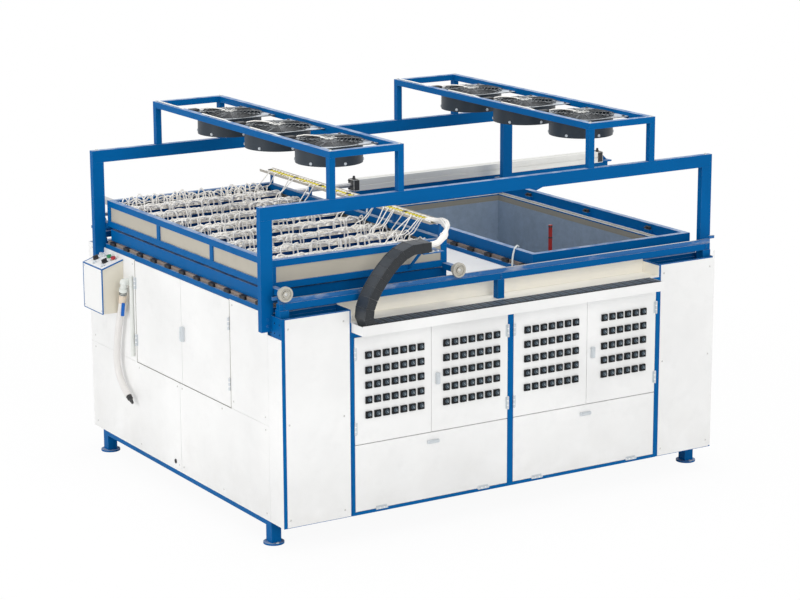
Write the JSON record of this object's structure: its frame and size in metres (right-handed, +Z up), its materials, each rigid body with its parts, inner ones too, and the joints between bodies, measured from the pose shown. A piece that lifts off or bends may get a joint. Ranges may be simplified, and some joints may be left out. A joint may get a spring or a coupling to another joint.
{
  "type": "double-station vacuum forming machine",
  "caption": "Sheet vacuum former with side-by-side forming stations, a ceramic shuttle oven on rails, overhead cooling fans and switch cabinet doors.",
  "frame": {"origin": "on the floor, at the centre of the rectangle of the floor anchor holes in the feet", "axes": "+X along the front to the right as the operator stands at the switch doors, +Y to the back, +Z up"},
  "size_m": [3.322, 2.089, 1.764],
  "materials": {
    "blue_paint": "gloss enamel",
    "white_paint": "satin powder coat",
    "dark_paint": "satin",
    "oven_paint": "satin, warmed by heat",
    "tank_paint": "satin",
    "steel": "machined",
    "galvanised": "galvanised sheet",
    "aluminium": "anodised",
    "fan_black": "satin black",
    "switch_black": "gloss",
    "chain_plastic": "satin",
    "ceramic": "glazed",
    "seal_rubber": "matte",
    "wheel_grey": "painted rim",
    "red_paint": "satin",
    "hose_clear": "soft, translucent",
    "nozzle_black": "satin",
    "fitting_plastic": "satin",
    "button_green": "gloss",
    "button_red": "gloss"
  },
  "bodies": {
    "body": {"feet": "blue_paint", "base_frame": "blue_paint", "body_panels": "white_paint", "column_boxes": "blue_paint", "cable_trough": "white_paint", "rail_beams": "blue_paint", "wheel_rails": "steel", "gantry_frames": "blue_paint", "fan_frames": "blue_paint", "fan_ducts": "dark_paint", "chambers": "galvanised", "station_frames": "blue_paint", "stop_blocks": "fan_black", "seals": "seal_rubber", "table_cylinders": "steel", "gauge_posts": "red_paint", "drive_cylinder": "aluminium", "cylinder_beam": "blue_paint", "control_box": "white_paint", "hose_fitting": "fitting_plastic", "air_hose": "hose_clear", "hose_nozzle": "nozzle_black", "vacuum_pump": "tank_paint", "vacuum_tank": "tank_paint"},
    "oven": {"oven_frame": "blue_paint", "oven_side_panels": "oven_paint", "oven_tray": "dark_paint", "ceramic_elements": "ceramic", "terminal_tray": "white_paint", "chain_upper_run": "chain_plastic", "piston_rod": "steel"},
    "wheels_left": {"wheels_left": "wheel_grey"},
    "wheels_right": {"wheels_right": "wheel_grey"},
    "chain": {"chain_loop": "chain_plastic"},
    "left_clamp": {"left_clamp_frame": "blue_paint"},
    "right_clamp": {"right_clamp_frame": "blue_paint"},
    "left_table": {"left_mould_table": "aluminium"},
    "right_table": {"right_mould_table": "aluminium"},
    "side_door_front": {"side_door_front": "white_paint"},
    "side_door_rear": {"side_door_rear": "white_paint"},
    "door_1": {"switch_door_1": "white_paint", "switches_1": "switch_black"},
    "door_2": {"switch_door_2": "white_paint", "switches_2": "switch_black"},
    "door_3": {"switch_door_3": "white_paint", "switches_3": "switch_black"},
    "door_4": {"switch_door_4": "white_paint", "switches_4": "switch_black"},
    "lower_left": {"lower_door_left": "white_paint"},
    "lower_right": {"lower_door_right": "white_paint"},
    "start": {"start_button": "button_green"},
    "stop": {"stop_button": "button_red"},
    "selector_left": {"selector_left": "nozzle_black"},
    "selector_right": {"selector_right": "nozzle_black"},
    "fan_left_front": {"fan_rotor_left_front": "fan_black"},
    "fan_left_middle": {"fan_rotor_left_middle": "fan_black"},
    "fan_left_rear": {"fan_rotor_left_rear": "fan_black"},
    "fan_right_front": {"fan_rotor_right_front": "fan_black"},
    "fan_right_middle": {"fan_rotor_right_middle": "fan_black"},
    "fan_right_rear": {"fan_rotor_right_rear": "fan_black"}
  },
  "joints": [
    {"name": "oven_slide", "type": "slide", "parent": "body", "child": "oven", "axis": [1, 0, 0], "range_m": [0, 1.41]},
    {"name": "wheels_left_roll", "type": "hinge", "parent": "oven", "child": "wheels_left", "pos_m": [-1.168, -0.0403, 1.1725], "axis": [0, 1, 0], "range_deg": [0, 3400]},
    {"name": "wheels_right_roll", "type": "hinge", "parent": "oven", "child": "wheels_right", "pos_m": [-0.268, -0.0403, 1.1725], "axis": [0, 1, 0], "range_deg": [0, 3400]},
    {"name": "chain_slide", "type": "slide", "parent": "oven", "child": "chain", "axis": [1, 0, 0], "range_m": [-0.705, 0]},
    {"name": "left_clamp_lift", "type": "slide", "parent": "body", "child": "left_clamp", "axis": [0, 0, 1], "range_m": [0, 0.01]},
    {"name": "right_clamp_lift", "type": "slide", "parent": "body", "child": "right_clamp", "axis": [0, 0, -1], "range_m": [-0.12, 0]},
    {"name": "left_table_lift", "type": "slide", "parent": "body", "child": "left_table", "axis": [0, 0, 1], "range_m": [0, 0.32]},
    {"name": "right_table_lift", "type": "slide", "parent": "body", "child": "right_table", "axis": [0, 0, 1], "range_m": [0, 0.32]},
    {"name": "fan_left_front_spin", "type": "hinge", "parent": "body", "child": "fan_left_front", "pos_m": [-0.703, -0.5763, 1.7], "axis": [0, 0, 1], "continuous": true},
    {"name": "fan_left_middle_spin", "type": "hinge", "parent": "body", "child": "fan_left_middle", "pos_m": [-0.703, -0.0963, 1.7], "axis": [0, 0, 1], "continuous": true},
    {"name": "fan_left_rear_spin", "type": "hinge", "parent": "body", "child": "fan_left_rear", "pos_m": [-0.703, 0.3837, 1.7], "axis": [0, 0, 1], "continuous": true},
    {"name": "fan_right_front_spin", "type": "hinge", "parent": "body", "child": "fan_right_front", "pos_m": [0.703, -0.5763, 1.7], "axis": [0, 0, 1], "continuous": true},
    {"name": "fan_right_middle_spin", "type": "hinge", "parent": "body", "child": "fan_right_middle", "pos_m": [0.703, -0.0963, 1.7], "axis": [0, 0, 1], "continuous": true},
    {"name": "fan_right_rear_spin", "type": "hinge", "parent": "body", "child": "fan_right_rear", "pos_m": [0.703, 0.3837, 1.7], "axis": [0, 0, 1], "continuous": true},
    {"name": "side_door_front_swing", "type": "hinge", "parent": "body", "child": "side_door_front", "pos_m": [-1.2053, -0.5203, 0.8], "axis": [0, 0, 1], "range_deg": [0, 90]},
    {"name": "side_door_rear_swing", "type": "hinge", "parent": "body", "child": "side_door_rear", "pos_m": [-1.2053, 0.4497, 0.8], "axis": [0, 0, -1], "range_deg": [0, 90]},
    {"name": "door_1_swing", "type": "hinge", "parent": "body", "child": "door_1", "pos_m": [-0.833, -1.0136, 0.69], "axis": [0, 0, -1], "range_deg": [0, 90]},
    {"name": "door_2_swing", "type": "hinge", "parent": "body", "child": "door_2", "pos_m": [-0.011, -1.0136, 0.69], "axis": [0, 0, 1], "range_deg": [0, 90]},
    {"name": "door_3_swing", "type": "hinge", "parent": "body", "child": "door_3", "pos_m": [0.023, -1.0136, 0.69], "axis": [0, 0, -1], "range_deg": [0, 90]},
    {"name": "door_4_swing", "type": "hinge", "parent": "body", "child": "door_4", "pos_m": [0.845, -1.0136, 0.69], "axis": [0, 0, 1], "range_deg": [0, 90]},
    {"name": "lower_left_swing", "type": "hinge", "parent": "body", "child": "lower_left", "pos_m": [-0.422, -1.0136, 0.126], "axis": [1, 0, 0], "range_deg": [0, 90]},
    {"name": "lower_right_swing", "type": "hinge", "parent": "body", "child": "lower_right", "pos_m": [0.434, -1.0136, 0.126], "axis": [1, 0, 0], "range_deg": [0, 90]},
    {"name": "start_press", "type": "slide", "parent": "body", "child": "start", "axis": [0.307, 0, -0.9517], "range_m": [0, 0.004], "stiffness_N_per_m": 300, "springref_m": -0.002},
    {"name": "stop_press", "type": "slide", "parent": "body", "child": "stop", "axis": [0.307, 0, -0.9517], "range_m": [0, 0.004], "stiffness_N_per_m": 300, "springref_m": -0.002},
    {"name": "selector_left_turn", "type": "hinge", "parent": "body", "child": "selector_left", "pos_m": [-1.26361, 0.7547, 1.02058], "axis": [-0.307, 0, 0.9517], "range_deg": [-45, 45]},
    {"name": "selector_right_turn", "type": "hinge", "parent": "body", "child": "selector_right", "pos_m": [-1.26361, 0.6547, 1.02058], "axis": [-0.307, 0, 0.9517], "range_deg": [-45, 45]}
  ],
  "couplings": [
    {"joint": "wheels_left_roll", "follows": "oven_slide", "rad_per_m": 41.667},
    {"joint": "wheels_right_roll", "follows": "oven_slide", "rad_per_m": 41.667},
    {"joint": "chain_slide", "follows": "oven_slide", "ratio": -0.5}
  ]
}
